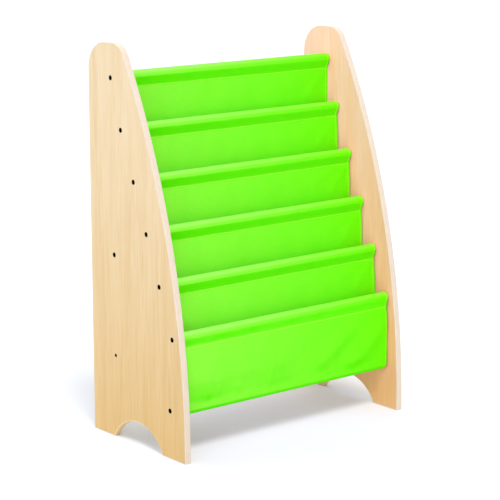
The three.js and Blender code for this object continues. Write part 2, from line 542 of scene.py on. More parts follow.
@dataclass(frozen=True)
class LimeCanvas:
    """Vivid lime plain-woven canvas. Its weave and its slubs follow the cloth's own UV map, in metres.

    A slope is the upward part of the way that the cloth faces: 1 on top of a sleeve, 0 where it is plumb.
    """

    name: str = "lime_canvas"
    # Painted light: the first colour is the dye as if lit more strongly at the left, the second the dye at
    # the right
    left_lit_dye: Colour = (143, 255, 66)
    deep: Colour = (110, 255, 8)
    left_light_reach: float = 0.3
    mottle: Colour = (240, 252, 225)
    mottle_share: float = 0.8
    # Painted highlight: paler lime where the cloth faces up, as on the sleeves' shoulders, less on their
    # very crowns
    highlight_left: Colour = (184, 255, 144)
    highlight_right: Colour = (156, 255, 66)
    highlight_share: float = 0.44
    shoulder_slopes: tuple[float, float] = (0.3, 0.72)
    crown_slopes: tuple[float, float] = (0.76, 0.98)
    crown_share: float = 0.6
    # Painted shade: a deeper, more saturated lime multiplied in where the cloth faces down
    low_left: Colour = (176, 255, 30)
    low_right: Colour = (232, 255, 140)
    shade_slopes: tuple[float, float] = (-0.05, -0.19)
    bounce: Colour = (178, 179, 181)
    edge_bounce: Colour = (232, 210, 192)
    bounce_middle: float = 0.11
    bounce_edge: float = 0.26
    own_reach: float = 60 * MM
    own_edge: float = 260 * MM
    thread_pitch: float = 0.7 * MM
    weave_depth: float = 0.12 * MM
    slub_depth: float = 0.08 * MM
    slub_stretch: float = 0.12
    sheen_tint: Colour = (205, 255, 10)
    roughness: float = 0.66

    def build(self) -> Material:
        """Makes the material.

        Returns:
            The material, with sheen, a plain weave, a soft mottle of the dye, and painted light and shade.
        """
        tree = FinishTree(self.name)
        place = tree.split(tree.coordinates("UV"))
        turn = math.pi / self.thread_pitch
        waves = [tree.maths("SINE", tree.maths("MULTIPLY", place[axis], turn)) for axis in ("X", "Y")]
        weave = tree.maths("MULTIPLY", *waves)
        dye = tree.noise(tree.coordinates("UV"), scale=22, detail=4, roughness=0.6)
        slubs = tree.noise(tree.coordinates("UV", (1, self.slub_stretch, 1)), scale=900, detail=2)
        # Painted light: the dye is lighter towards the left, where more light falls, and deeper towards the
        # right
        left_light = tree.spread(place["X"], self.left_light_reach, -self.left_light_reach)
        tint = tree.mix(left_light, linear(self.deep), linear(self.left_lit_dye))
        tone = tree.spread(tree.mix(0.5, dye, slubs), low=0.42, high=0.62, to_high=self.mottle_share)
        tint = tree.mix(tone, tint, linear(self.mottle), "MULTIPLY")
        tint = self.paint_light(tree, tint, left_light)
        tree.colour(self.reflect(tree, tint, place["X"]))
        tree.plain(Roughness=self.roughness, Specular_IOR_Level=0.03, Sheen_Weight=0.2,
                   Sheen_Roughness=0.35, Sheen_Tint=linear(self.sheen_tint))
        tree.bump([(weave, self.weave_depth), (slubs, self.slub_depth)])
        return tree.material

    def paint_light(self, tree: FinishTree, tint: Socket, left_light: Socket) -> Socket:
        """Paints highlights on the sleeves' shoulders, and painted shade where the cloth faces down.

        Args:
            tree: the material's nodes.
            tint: the dye's colour.
            left_light: the share of painted light from the left, 1 at the left and 0 at the right.

        Returns:
            The colour's socket.
        """
        # Painted highlight where the cloth faces up, chosen by the normal's Z
        slope = tree.split(tree.add("ShaderNodeNewGeometry").outputs["Normal"])["Z"]
        highlight = tree.mix(left_light, linear(self.highlight_right), linear(self.highlight_left))
        shoulder = tree.spread(slope, *self.shoulder_slopes, to_high=self.highlight_share)
        crown = tree.spread(slope, *self.crown_slopes, to_low=1, to_high=self.crown_share)
        tint = tree.mix(tree.maths("MULTIPLY", shoulder, crown), tint, highlight)
        # Painted shade where the cloth faces down, such as the sleeves' undersides
        low = tree.mix(left_light, linear(self.low_right), linear(self.low_left))
        return tree.mix(tree.spread(slope, *self.shade_slopes), tint, low, "MULTIPLY")

    def reflect(self, tree: FinishTree, tint: Socket, across: Socket) -> Socket:
        """Takes the green out of the light that the cloth throws on other pieces.

        That light is grey, and near the right edge warm, because the board there looks warm. Over the
        short way to the cloth's own sleeves it stays green.

        Args:
            tree: the material's nodes.
            tint: the cloth's colour.
            across: the place across the cloth, in metres from its middle.

        Returns:
            The colour's socket.
        """
        nearness = tree.spread(across, self.bounce_middle, self.bounce_edge)
        bounce = tree.mix(nearness, linear(self.bounce), linear(self.edge_bounce))
        rays = tree.add("ShaderNodeLightPath").outputs
        short = tree.spread(rays["Ray Length"], self.own_reach, self.own_reach / 2)
        inner = tree.maths("LESS_THAN", tree.maths("ABSOLUTE", across), self.own_edge)
        bounce = tree.mix(tree.maths("MULTIPLY", short, inner), bounce, tint)
        return tree.mix(rays["Is Diffuse Ray"], tint, bounce)


@dataclass
class Finishes:
    """Each finish of the shelf, made once."""

    laminate: Material = field(default_factory=MapleLaminate().build)
    # The right board's copy is brighter and redder: painted light that stands in for warm bounce light on
    # its inner face
    bounce_lit_laminate: Material = field(default_factory=MapleLaminate(
        "maple_laminate_painted_bounce", pale=(255, 228, 197), middle=(255, 222, 185), warm=(253, 214, 168)).build)
    edge_band: Material = field(default_factory=EdgeBandPlastic().build)
    beech: Material = field(default_factory=TurnedBeech().build)
    steel: Material = field(default_factory=BlackedSteel().build)
    canvas: Material = field(default_factory=LimeCanvas().build)
    thread: Material = field(default_factory=LimeThread().build)
    tape: Material = field(default_factory=HookTape().build)


# Shared ways to make pieces


def show(name: str, data: bpy.types.ID) -> Piece:
    """Puts new data into the scene.

    Args:
        name: the object's name.
        data: its mesh, lamp or camera.

    Returns:
        The new object.
    """
    item = bpy.data.objects.new(name, data)
    bpy.context.scene.collection.objects.link(item)
    return item


def as_mesh(name: str, bm: BMesh) -> bpy.types.Mesh:
    """Turns a bmesh into a mesh.

    Args:
        name: the mesh's name.
        bm: its shape. It is freed.

    Returns:
        The new mesh.
    """
    mesh = bpy.data.meshes.new(name)
    bm.to_mesh(mesh)
    bm.free()
    return mesh


def finish_piece(name: str, bm: BMesh, material: Material, crease: float = 35) -> Piece:
    """Turns a bmesh into a piece that rides on the shelf.

    Args:
        name: the piece's name.
        bm: its shape, in the frame's metres. It is freed.
        material: its finish.
        crease: the angle in degrees past which an edge stays sharp.

    Returns:
        The new object.
    """
    mesh = as_mesh(name, bm)
    mesh.shade_smooth()
    mesh.set_sharp_from_angle(angle=math.radians(crease))
    mesh.materials.append(material)
    piece = show(name, mesh)
    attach(piece, BODY)
    log.info("%s: %d faces", name, len(mesh.polygons))
    return piece


def axis_of(node: str) -> Vector:
    """A rod's or a screw's axis in the side view, from its node's box."""
    low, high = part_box(node)
    return Vector(((low.y + high.y) / 2, (low.z + high.z) / 2))


def on_circle(centre: Vector, radius: float, angle: float) -> Vector:
    """The point of a circle in the side view at an angle that turns Y towards Z."""
    return centre + radius * Vector((math.cos(angle), math.sin(angle)))


def picked(parts: Iterable[object], kind: type) -> list:
    """The parts of one kind, such as the vertices, among those that an operator made."""
    return [part for part in parts if isinstance(part, kind)]


def draw_circle(bm: BMesh, radius: float, sides: int, place: Matrix) -> list[BMEdge]:
    """Draws a circle that looks along X.

    Args:
        bm: the bmesh that is drawn in.
        radius: its radius.
        sides: how many edges it has.
        place: where it goes.

    Returns:
        Its edges.
    """
    matrix = place @ Matrix.Rotation(math.pi / 2, 4, "Y")
    verts = bmesh.ops.create_circle(bm, radius=radius, segments=sides, matrix=matrix)["verts"]
    return list(dict.fromkeys(edge for vert in verts for edge in vert.link_edges))


def pull(bm: BMesh, edges: Sequence[BMEdge], by: float) -> list[BMEdge]:
    """Extrudes a loop of edges along X.

    Args:
        bm: the bmesh that holds them.
        edges: the loop.
        by: how far the new loop lies from it.

    Returns:
        The new loop's edges.
    """
    made = bmesh.ops.extrude_edge_only(bm, edges=edges)["geom"]
    bmesh.ops.translate(bm, verts=picked(made, BMVert), vec=(by, 0, 0))
    return picked(made, BMEdge)


def turn_profile(profile: Sequence[tuple[float, float]], steps: int) -> BMesh:
    """Turns a profile round the X axis.

    Args:
        profile: (place along X, radius) pairs.
        steps: how many steps the full turn has.

    Returns:
        A bmesh with its axis on X. Ends at radius 0 are closed there.
    """
    bm = bmesh.new()
    last = bm.verts.new((profile[0][0], 0, profile[0][1]))
    for along, radius in profile[1:]:
        last = bmesh.ops.extrude_vert_indiv(bm, verts=[last])["verts"][0]
        last.co = (along, 0, radius)
    bmesh.ops.spin(bm, geom=[*bm.verts, *bm.edges], cent=(0, 0, 0), axis=(1, 0, 0),
                   angle=FULL_TURN, steps=steps, use_merge=True)
    bmesh.ops.remove_doubles(bm, verts=bm.verts[:], dist=SAME_POINT)
    bmesh.ops.recalc_face_normals(bm, faces=bm.faces[:])
    return bm


class Pen:
    """Draws a chain of edges in the side view, at one place across the shelf."""

    def __init__(self, bm: BMesh, across: float, depth: float, height: float) -> None:
        """Sets the pen down.

        Args:
            bm: the bmesh that is drawn in.
            across: the place along X.
            depth: the first point's Y.
            height: the first point's Z.
        """
        self.bm = bm
        self.across = across
        self.first = self.last = bm.verts.new((across, depth, height))
        self.edges: list[BMEdge] = []

    def line(self, depth: float, height: float) -> None:
        """Draws a straight edge.

        Args:
            depth: the end's Y.
            height: the end's Z.
        """
        made = bmesh.ops.extrude_vert_indiv(self.bm, verts=[self.last])
        self.edges += made["edges"]
        self.last = made["verts"][0]
        self.last.co = (self.across, depth, height)

    def arc(self, centre: tuple[float, float], angle: float, steps: int) -> None:
        """Draws an arc.

        Args:
            centre: its centre, (depth, height).
            angle: how far it goes round. A positive angle turns Y towards Z.
            steps: how many edges it has.
        """
        before = set(self.bm.edges)
        swept = bmesh.ops.spin(self.bm, geom=[self.last], cent=(self.across, *centre),
                               axis=(1, 0, 0), angle=angle, steps=steps)
        self.edges += [edge for edge in self.bm.edges if edge not in before]
        self.last = picked(swept["geom_last"], BMVert)[0]

    def close(self) -> list[BMEdge]:
        """Joins the last point to the first, and gives the loop's edges."""
        self.edges.append(self.bm.edges.new((self.last, self.first)))
        return self.edges


# The two sides


@dataclass
class SidePanel:
    """One side: a laminated board with its screw holes, and the edge band round it."""

    side: Side
    band_thickness: float = 2 * MM
    band_round: float = 1.5 * MM
    band_round_steps: int = 4
    joint_width: float = 0.08 * MM
    front_plumb: float = 11 * MM
    front_top_radius: float = 42 * MM
    rear_top_radius: float = 63 * MM
    top_flat: float = 33.8 * MM
    front_foot: float = 83 * MM
    rear_foot: float = 81 * MM
    arch_height: float = 55 * MM
    front_steps: int = 72
    corner_steps: int = 24
    arch_steps: int = 48
    hole_steps: int = 36
    hole_spare: float = 0.25 * MM

    def __post_init__(self) -> None:
        """Reads the side's size and place from the frame."""
        self.low, self.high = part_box(f"{self.side.word}_edge_band")
        self.outer = self.low.x if self.side is Side.LEFT else self.high.x
        self.inner = self.high.x if self.side is Side.LEFT else self.low.x
        self.inwards = self.inner - self.outer

    def outline(self, bm: BMesh, inset: float) -> list[BMEdge]:
        """Draws the side's outline on its outer face, moved inwards by an inset.

        Args:
            bm: the bmesh that is drawn in.
            inset: how far inside the outer edge the line runs.

        Returns:
            The closed loop's edges.
        """
        front, rear, top = self.low.y, self.high.y, self.high.z
        corner_depth = rear - self.rear_top_radius - self.top_flat
        reach = corner_depth - front
        rise = top - self.front_top_radius - self.front_plumb
        radius = (reach**2 + rise**2 - self.front_top_radius**2) / (2 * (reach - self.front_top_radius))
        curve_centre = (front + radius, self.front_plumb)
        corner_centre = (corner_depth, top - self.front_top_radius)
        join = math.atan2(rise, corner_depth - curve_centre[0])
        span = rear - front - self.front_foot - self.rear_foot
        arch_radius = (span**2 / 4 + self.arch_height**2) / (2 * self.arch_height)
        arch_centre = (front + self.front_foot + span / 2, self.arch_height - arch_radius)
        cut = arch_radius + inset
        spring = math.asin((inset - arch_centre[1]) / cut)

        pen = Pen(bm, self.outer, front + inset, self.front_plumb)
        pen.arc(curve_centre, join - math.pi, self.front_steps)
        pen.arc(corner_centre, math.pi / 2 - join, self.corner_steps)
        pen.line(rear - self.rear_top_radius, top - inset)
        pen.arc((rear - self.rear_top_radius, top - self.rear_top_radius), -math.pi / 2, self.corner_steps)
        pen.line(rear - inset, inset)
        pen.line(arch_centre[0] + cut * math.cos(spring), inset)
        pen.arc(arch_centre, math.pi - 2 * spring, self.arch_steps)
        pen.line(front + inset, inset)
        return pen.close()

    def build_band(self, finish: Material) -> Piece:
        """Makes the edge band: a closed strip round the board with its two outer edges rounded.

        Args:
            finish: the band's material.

        Returns:
            The band's object.
        """
        bm = bmesh.new()
        rim = self.outline(bm, 0)
        rim_verts = {vert for edge in rim for vert in edge.verts}
        lining = self.outline(bm, self.band_thickness)
        ring = bmesh.ops.bridge_loops(bm, edges=rim + lining)["faces"]
        far = picked(bmesh.ops.extrude_face_region(bm, geom=ring)["geom"], BMVert)
        bmesh.ops.translate(bm, verts=far, vec=(self.inwards, 0, 0))
        bmesh.ops.recalc_face_normals(bm, faces=bm.faces[:])
        bm.normal_update()
        near_edges = [edge for edge in rim if edge.is_valid]
        far_rim = {edge.other_vert(vert) for vert in rim_verts for edge in vert.link_edges}.intersection(far)
        far_edges = [edge for edge in bm.edges if set(edge.verts) <= far_rim]
        bmesh.ops.bevel(bm, geom=near_edges + far_edges, offset=self.band_round, affect="EDGES",
                        segments=self.band_round_steps, profile=0.5, material=-1)
        piece = finish_piece(f"{self.side.word}_edging", bm, finish)
        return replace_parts(piece, f"{self.side.word}_edge_band")

    def sink_hole(self, bm: BMesh, screw: str) -> tuple[list[BMEdge], list[BMEdge]]:
        """Draws the stepped wall of one screw's hole.

        Args:
            bm: the board's bmesh.
            screw: the screw's node.

        Returns:
            The edges of the hole's mouth and of its inner end.
        """
        low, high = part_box(screw)
        inwards = math.copysign(1, self.inwards)
        seat = Matrix.Translation((self.outer, *axis_of(screw)))
        mouth = draw_circle(bm, (high.z - low.z) / 2 + self.hole_spare, self.hole_steps, seat)
        wall = pull(bm, mouth, inwards * Screw.rim_depth)
        cone = pull(bm, wall, inwards * (Screw.cone_depth - Screw.rim_depth))
        narrowed = list({vert for edge in cone for vert in edge.verts})
        bmesh.ops.scale(bm, verts=narrowed, vec=(1, Screw.shank_share, Screw.shank_share),
                        space=seat.inverted())
        return mouth, pull(bm, cone, self.inwards - inwards * Screw.cone_depth)

    def build_board(self, finish: Material) -> Piece:
        """Makes the laminated board with a stepped hole for each screw.

        Args:
            finish: the board's material.

        Returns:
            The board's object.
        """
        bm = bmesh.new()
        near_loops = self.outline(bm, self.band_thickness + self.joint_width)
        far_loops = pull(bm, near_loops, self.inwards)
        for screw in (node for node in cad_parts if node.endswith(f"screw_{self.side.word}")):
            mouth, end = self.sink_hole(bm, screw)
            near_loops += mouth
            far_loops += end
        for loops in (near_loops, far_loops):
            bmesh.ops.triangle_fill(bm, use_beauty=True, edges=loops)
        bmesh.ops.recalc_face_normals(bm, faces=bm.faces[:])
        piece = finish_piece(f"{self.side.word}_board", bm, finish)
        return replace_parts(piece, f"{self.side.word}_side_panel")

    def build(self, finishes: Finishes) -> None:
        """Makes the board and its band."""
        # The right board takes the laminate copy with painted bounce light
        self.build_board(finishes.laminate if self.side is Side.LEFT else finishes.bounce_lit_laminate)
        self.build_band(finishes.edge_band)


# Rods and screws


@dataclass
class Rod:
    """One round beech rod with eased ends, and a bore in each for its screw.

    The eased edge's middle point lies inside its corner by the middle share of the edge's size.
    """

    node: str
    edge_round: float = 0.8 * MM
    middle_share: float = 0.3
    bore_share: float = 0.33
    bore_depth: float = 36 * MM
    steps: int = 48

    def build(self, finish: Material) -> Piece:
        """Makes the rod where its node is.

        Args:
            finish: the rod's material.

        Returns:
            The rod's object.
        """
        low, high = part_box(self.node)
        half, radius = high.x, (high.z - low.z) / 2
        bore, ease = radius * self.bore_share, self.edge_round
        middle = self.middle_share * ease
        end = [
            (half - self.bore_depth, 0), (half - self.bore_depth, bore), (half, bore),
            (half, radius - ease), (half - middle, radius - middle), (half - ease, radius),
        ]
        bm = turn_profile([*((-x, r) for x, r in end), *reversed(end)], self.steps)
        bmesh.ops.translate(bm, verts=bm.verts[:], vec=(0, *axis_of(self.node)))
        piece = finish_piece(f"{self.node}_dowel", bm, finish)
        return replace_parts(piece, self.node)


@dataclass
class Screw:
    """One black socket screw, seen from outside the board as a flat head with a six-sided hole."""

    node: str
    side: Side
    shank_share: float = 0.57
    rim_depth: float = 0.7 * MM
    cone_depth: float = 3.4 * MM
    ease: float = 0.35 * MM
    socket_share: float = 0.43
    socket_sides: int = 6
    socket_depth: float = 2.2 * MM
    point_length: float = 4 * MM
    steps: int = 36

    def build(self, finish: Material) -> Piece:
        """Makes the screw where its node is.

        Args:
            finish: the screw's material.

        Returns:
            The screw's object.
        """
        low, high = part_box(self.node)
        head, length = (high.z - low.z) / 2, high.x - low.x
        shank = head * self.shank_share
        bm = turn_profile([
            (0, head - self.ease), (self.ease, head), (self.rim_depth, head),
            (self.cone_depth, shank), (length - self.point_length, shank), (length, 0),
        ], self.steps)
        self.sink_socket(bm, head)
        if self.side is Side.RIGHT:
            bmesh.ops.rotate(bm, verts=bm.verts[:], cent=(0, 0, 0), matrix=Matrix.Rotation(math.pi, 3, "Z"))
        outer = low.x if self.side is Side.LEFT else high.x
        bmesh.ops.translate(bm, verts=bm.verts[:], vec=(outer, *axis_of(self.node)))
        piece = finish_piece(f"{self.node}_steel", bm, finish, crease=25)
        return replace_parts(piece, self.node)

    def sink_socket(self, bm: BMesh, head: float) -> None:
        """Closes the head with a flat face that has a six-sided hole in it.

        Args:
            bm: the turned screw, open at its head.
            head: the head's radius.
        """
        rim = [edge for edge in bm.edges if edge.is_boundary]
        mouth = draw_circle(bm, head * self.socket_share, self.socket_sides, Matrix())
        bmesh.ops.triangle_fill(bm, use_beauty=True, edges=rim + mouth)
        bmesh.ops.edgeloop_fill(bm, edges=pull(bm, mouth, self.socket_depth))
        bmesh.ops.recalc_face_normals(bm, faces=bm.faces[:])


@dataclass
class RodSet:
    """The nine rods and the eighteen screws that hold them between the sides."""

    def build(self, finishes: Finishes) -> None:
        """Makes every rod and screw that the frame has.

        Args:
            finishes: the shelf's finishes.
        """
        for node in sorted(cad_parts):
            if "_screw_" in node:
                side = Side.LEFT if node.endswith("left") else Side.RIGHT
                Screw(node, side).build(finishes.steel)
            elif "_rod" in node:
                Rod(node).build(finishes.beech)


# Cloth


@dataclass
class SidePath:
    """The line that cloth follows in the side view, as points about a spacing apart.

    It starts at a point given as (depth, height). A new stretch that starts within the touching
    distance of the last point starts at that point. The seam's corner is eased over a few points.
    """

    start: Vector
    spacing: float
    touching: float = 0.2 * MM
    seam_points: int = 2
    seam_rounds: int = 2

    def __post_init__(self) -> None:
        """Starts the line at its first point."""
        self.points = [self.start.copy()]
        self.lengths: list[float] = [0.0]
        self.seam = 0

    def line(self, end: Vector) -> int:
        """Runs straight to a point.

        Args:
            end: the point.

        Returns:
            Its index.
        """
        start = self.points[-1]
        steps = max(1, round((end - start).length / self.spacing))
        self.points += [start.lerp(end, step / steps) for step in range(1, steps + 1)]
        return len(self.points) - 1

    def arc(self, centre: Vector, radius: float, start: float, end: float, finer: float = 1) -> int:
        """Runs round a centre from one angle to another.

        Args:
            centre: the arc's centre.
            radius: its radius.
            start: the angle that it starts at. Angles turn Y towards Z.
            end: the angle that it ends at.
            finer: how many times closer than usual its points are.

        Returns:
            The last point's index.
        """
        steps = max(2, round(abs(end - start) * radius * finer / self.spacing))
        ring = [on_circle(centre, radius, start + (end - start) * step / steps) for step in range(steps + 1)]
        self.points += ring if (ring[0] - self.points[-1]).length > self.touching else ring[1:]
        return len(self.points) - 1

    def relax(self, first: int, last: int, rounds: int) -> None:
        """Eases the points between two indices towards their neighbours.

        Args:
            first: the index before the first that moves.
            last: the index after the last that moves.
            rounds: how many times they are eased.
        """
        for _ in range(rounds):
            self.points[first + 1:last] = [
                (self.points[index - 1] + 2 * self.points[index] + self.points[index + 1]) / 4
                for index in range(first + 1, last)
            ]

    def measure(self) -> float:
        """Eases the seam and adds up the length at each point.

        Returns:
            The whole length.
        """
        self.relax(self.seam - self.seam_points, self.seam + self.seam_points, self.seam_rounds)
        self.lengths = [0.0]
        for before, after in zip(self.points, self.points[1:]):
            self.lengths.append(self.lengths[-1] + (after - before).length)
        return self.lengths[-1]

    def facing(self, index: int) -> Vector:
        """Finds the way that the cloth's face looks: up over a rod, and forward below it.

        Args:
            index: the point's index.

        Returns:
            The direction, (depth, height).
        """
        before, after = self.points[max(index - 1, 0)], self.points[min(index + 1, len(self.points) - 1)]
        along = (after - before).normalized()
        return Vector((along.y, -along.x))

    def near(self, along: float) -> tuple[int, float]:
        """Finds a place by its length along the line.

        Args:
            along: the length.

        Returns:
            The index of the point before it, and the share of the way to the next.
        """
        index = min(max(bisect.bisect(self.lengths, along) - 1, 0), len(self.lengths) - 2)
        before, after = self.lengths[index:index + 2]
        return index, min((along - before) / (after - before), 1)


@dataclass(frozen=True)
class Fold:
    """A soft ridge in hanging cloth, between two places given as shares of its width and of its fall."""

    start_shares: tuple[float, float]
    end_shares: tuple[float, float]
    reach: float
    height: float

    def rise(self, place: Vector, width: float, fall: float) -> float:
        """Works out how far the ridge lifts the cloth at a place.

        Args:
            place: the place, in metres across and down.
            width: the cloth's width.
            fall: its fall.

        Returns:
            The lift.
        """
        start, end = (
            Vector((across * width, down * fall)) for across, down in (self.start_shares, self.end_shares)
        )
        line = end - start
        share = min(max((place - start).dot(line) / line.length_squared, 0), 1)
        away = (place - start - share * line).length / self.reach
        return self.height * math.exp(-away * away)


@dataclass
class Cloth:
    """A piece of the sling: one cut of canvas with hemmed sides, sewn round its rod.

    Noise scales are about waves to the metre, and the last of each set makes every rod's cloth differ.
    A reach or fade is how far a form takes to die away.
    """

    name: str
    node: str
    rail: str
    thickness: float = 1.0 * MM
    hem_thickness: float = 1.5 * MM
    hem_width: float = 9 * MM
    hem_column_shares: tuple[float, ...] = (0, 0.25, 0.5, 0.75, 0.93)
    layer_offset: float = 0.8 * MM
    sleeve_radius: float = 12.9 * MM
    sleeve_fineness: float = 1.6
    spacing: float = 3.2 * MM
    column_width: float = 4 * MM
    stitch_pitch: float = 3.6 * MM
    stitch_length: float = 2.9 * MM
    stitch_width: float = 1.0 * MM
    stitch_rise: float = 0.35 * MM
    stitch_clearance: float = 0.1 * MM
    seam_stitch_drop: float = 1.4 * MM
    rear_row_layers: float = 3
    hem_stitch_inset: float = 6.2 * MM
    pucker_height: float = 0.22 * MM
    pucker_reach: float = 7 * MM
    pucker_pitch: float = 13 * MM
    pucker_waver: float = 0.6
    waver_scales: tuple[float, float] = (14, 31)
    sleeve_wrinkle: float = 0.35 * MM
    wrinkle_scales: tuple[float, float, float] = (26, 40, 17)
    wrinkle_slant: float = 6
    wrinkle_fade: float = 20 * MM
    seam_draw: float = 1.6 * MM
    seam_draw_reach: float = 13 * MM
    seam_draw_power: int = 5
    end_curl: float = 0.9 * MM
    end_curl_width: float = 4 * MM
    end_curl_fade: float = 12 * MM

    def __post_init__(self) -> None:
        """Reads the cloth's width and its rod's axis from the frame, and draws the path."""
        low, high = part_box(self.node)
        self.half_width = (high.x - low.x) / 2
        self.axis = axis_of(self.rail)
        self.marks: dict[Mark, int] = {}
        self.path = self.draw_path()
        self.length = self.path.measure()

    def draw_path(self) -> SidePath:
        """Draws the line that this piece follows in the side view."""
        raise NotImplementedError

    def shift(self, across: float, index: int) -> Vector:
        """How far the cloth lies off its path at a place, as (depth, height)."""
        raise NotImplementedError

    def run_sleeve(self, path: SidePath, seam: Vector) -> None:
        """Runs up behind the rod, over it and down its front to the seam.

        Args:
            path: the path, which stands at the seam's rear layer.
            seam: the seam's place, as (depth, height) from the rod's axis.
        """
        radius = self.sleeve_radius - self.thickness / 2
        rear = path.points[-1] - self.axis
        front = seam - Vector((self.layer_offset, 0))
        leave = math.atan2(rear.y, rear.x) + math.acos(radius / rear.length)
        land = math.atan2(front.y, front.x) - math.acos(radius / front.length)
        path.line(on_circle(self.axis, radius, leave))
        path.arc(self.axis, radius, leave, land + FULL_TURN, finer=self.sleeve_fineness)
        path.seam = self.marks[Mark.SEAM] = path.line(self.axis + front)

    def past(self, mark: Mark, index: int) -> float:
        """How far along the path a point lies past a mark, negative before it."""
        return self.path.lengths[index] - self.path.lengths[self.marks[mark]]

    def at_side(self, across: float, width: float) -> float:
        """Rises to 1 at the cloth's side edges, from 0 at a width inside them."""
        return smooth_step(self.half_width - width, self.half_width, abs(across))

    def columns(self) -> list[float]:
        """Sets out the mesh's lines of vertices across the width, closest in the hems.

        Returns:
            Their places.
        """
        hem = self.half_width - self.hem_width
        count = max(2, round(2 * hem / self.column_width))
        middle = [-hem + 2 * hem * step / count for step in range(count + 1)]
        left = [-self.half_width + share * self.hem_width for share in self.hem_column_shares]
        return [*left, *middle, *(-across for across in reversed(left))]

    def drawn_in(self, index: int) -> float:
        """How far the seam draws the cloth's side edges in at a point of the path."""
        away = self.past(Mark.SEAM, index) / self.seam_draw_reach
        return self.seam_draw * math.exp(-away * away)

    def wrinkle(self, across: float, index: int) -> float:
        """Works out how far the sleeve and the seams lift the cloth along its face.

        Args:
            across: the place across the cloth.
            index: the path's point.

        Returns:
            The lift.
        """
        along, above = self.path.lengths[index], -self.past(Mark.SEAM, index)
        spot = Vector((across * self.waver_scales[0], self.axis.y * self.waver_scales[1], 0))
        waver = 1 + self.pucker_waver * noise.noise(spot)
        pucker = math.sin(across / self.pucker_pitch * FULL_TURN * waver)
        lift = self.pucker_height * math.exp(-((above / self.pucker_reach) ** 2)) * pucker
        if above > 0:
            wide, long, deep = self.wrinkle_scales
            spot = Vector((across * wide, along * long + across * self.wrinkle_slant, self.axis.y * deep))
            lift += self.sleeve_wrinkle * noise.noise(spot) * smooth_step(0, self.wrinkle_fade, above)
            curl = self.end_curl * self.at_side(across, self.end_curl_width)
            lift -= curl * smooth_step(0, self.end_curl_fade, above)
        return lift

    def place(self, across: float, index: int) -> Vector:
        """Finds where the cloth's middle surface is.

        Args:
            across: the place across the cloth.
            index: the path's point.

        Returns:
            The place in the frame.
        """
        face = self.path.facing(index)
        flat = self.path.points[index] + face * self.wrinkle(across, index) + self.shift(across, index)
        share = across / self.half_width
        drawn = share * abs(share) ** self.seam_draw_power * self.drawn_in(index)
        return Vector((across - drawn, flat.x, flat.y))

    def spot(self, across: float, along: float) -> Vector:
        """Where the middle surface is at a length along the path, between its points."""
        index, share = self.path.near(along)
        return self.place(across, index).lerp(self.place(across, index + 1), share)

    def lay_grid(self) -> BMesh:
        """Lays a grid along the path, with UVs in metres and a weight of 1 in the hems.

        Returns:
            The grid's bmesh.
        """
        columns, rows = self.columns(), len(self.path.points)
        bm = bmesh.new()
        # The grid starts as a square from -0.5 to 0.5, which tells each vertex's column and row
        bmesh.ops.create_grid(bm, x_segments=len(columns) - 1, y_segments=rows - 1, size=0.5)
        weights = bm.verts.layers.deform.verify()
        placed: dict[int, tuple[float, float]] = {}
        for vert in bm.verts:
            across = columns[round((vert.co.x + 0.5) * (len(columns) - 1))]
            row = round((vert.co.y + 0.5) * (rows - 1))
            placed[vert.index] = (across, self.path.lengths[row])
            in_hem = abs(across) > self.half_width - self.hem_width
            vert[weights][0] = 1.0 if in_hem else self.thickness / self.hem_thickness
            vert.co = self.place(across, row)
        map_layer = bm.loops.layers.uv.new("UVMap")
        for face in bm.faces:
            for loop in face.loops:
                loop[map_layer].uv = placed[loop.vert.index]
        return bm

    def build_sheet(self, finish: Material) -> Piece:
        """Makes the canvas, with the hems thicker than the rest.

        Args:
            finish: the canvas.

        Returns:
            The sheet's object.
        """
        sheet = finish_piece(self.name, self.lay_grid(), finish, crease=180)
        group = sheet.vertex_groups.new(name="hem")
        solid = sheet.modifiers.new("canvas", "SOLIDIFY")
        solid.thickness = self.hem_thickness
        solid.offset = 0
        solid.vertex_group = group.name
        solid.thickness_vertex_group = 0
        solid.use_even_offset = True
        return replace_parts(sheet, self.node)

    def make_pill(self) -> bpy.types.Mesh:
        """Makes one stitch, a small pill along X that every stitch is a copy of.

        Returns:
            The stitch's mesh.
        """
        bm = bmesh.new()
        size = Matrix.Diagonal((self.stitch_length / 2, self.stitch_width / 2, self.stitch_rise, 1))
        bmesh.ops.create_uvsphere(bm, u_segments=6, v_segments=5, radius=1, matrix=size)
        return as_mesh("stitch", bm)

    @staticmethod
    def stitch(bm: BMesh, pill: bpy.types.Mesh, start: Vector, end: Vector, face: Vector,
               lift: float) -> None:
        """Lays one stitch on the cloth.

        Args:
            bm: the bmesh that holds the stitches.
            pill: the stitch's shape.
            start: where the stitch comes up.
            end: where it goes down.
            face: the direction that the cloth looks in.
            lift: how far the cloth's outer face is above its middle.
        """
        along = (end - start).normalized()
        side = face.cross(along).normalized()
        up = along.cross(side)
        turn = Matrix((along, side, up)).transposed().to_4x4()
        laid = pill.copy()
        laid.transform(Matrix.Translation((start + end) / 2 + up * lift) @ turn)
        bm.from_mesh(laid)
        bpy.data.meshes.remove(laid)

    def sew_seam(self, bm: BMesh, pill: bpy.types.Mesh) -> None:
        """Sews the seam's two rows of stitches, one on each of the seam's outer faces.

        Args:
            bm: the bmesh that holds the stitches.
            pill: the stitch's shape.
        """
        seam = self.path.lengths[self.marks[Mark.SEAM]] + self.seam_stitch_drop
        count = int(2 * (self.half_width - self.hem_stitch_inset) / self.stitch_pitch)
        first = -self.stitch_pitch * (count - 1) / 2
        lift = self.thickness / 2 + self.stitch_clearance
        behind = Vector((0, self.rear_row_layers * self.layer_offset, 0))
        for number in range(count):
            across = first + number * self.stitch_pitch
            start = self.spot(across - self.stitch_length / 2, seam)
            end = self.spot(across + self.stitch_length / 2, seam)
            self.stitch(bm, pill, start, end, Vector((0, -1, 0)), lift)
            self.stitch(bm, pill, start + behind, end + behind, Vector((0, 1, 0)), lift)

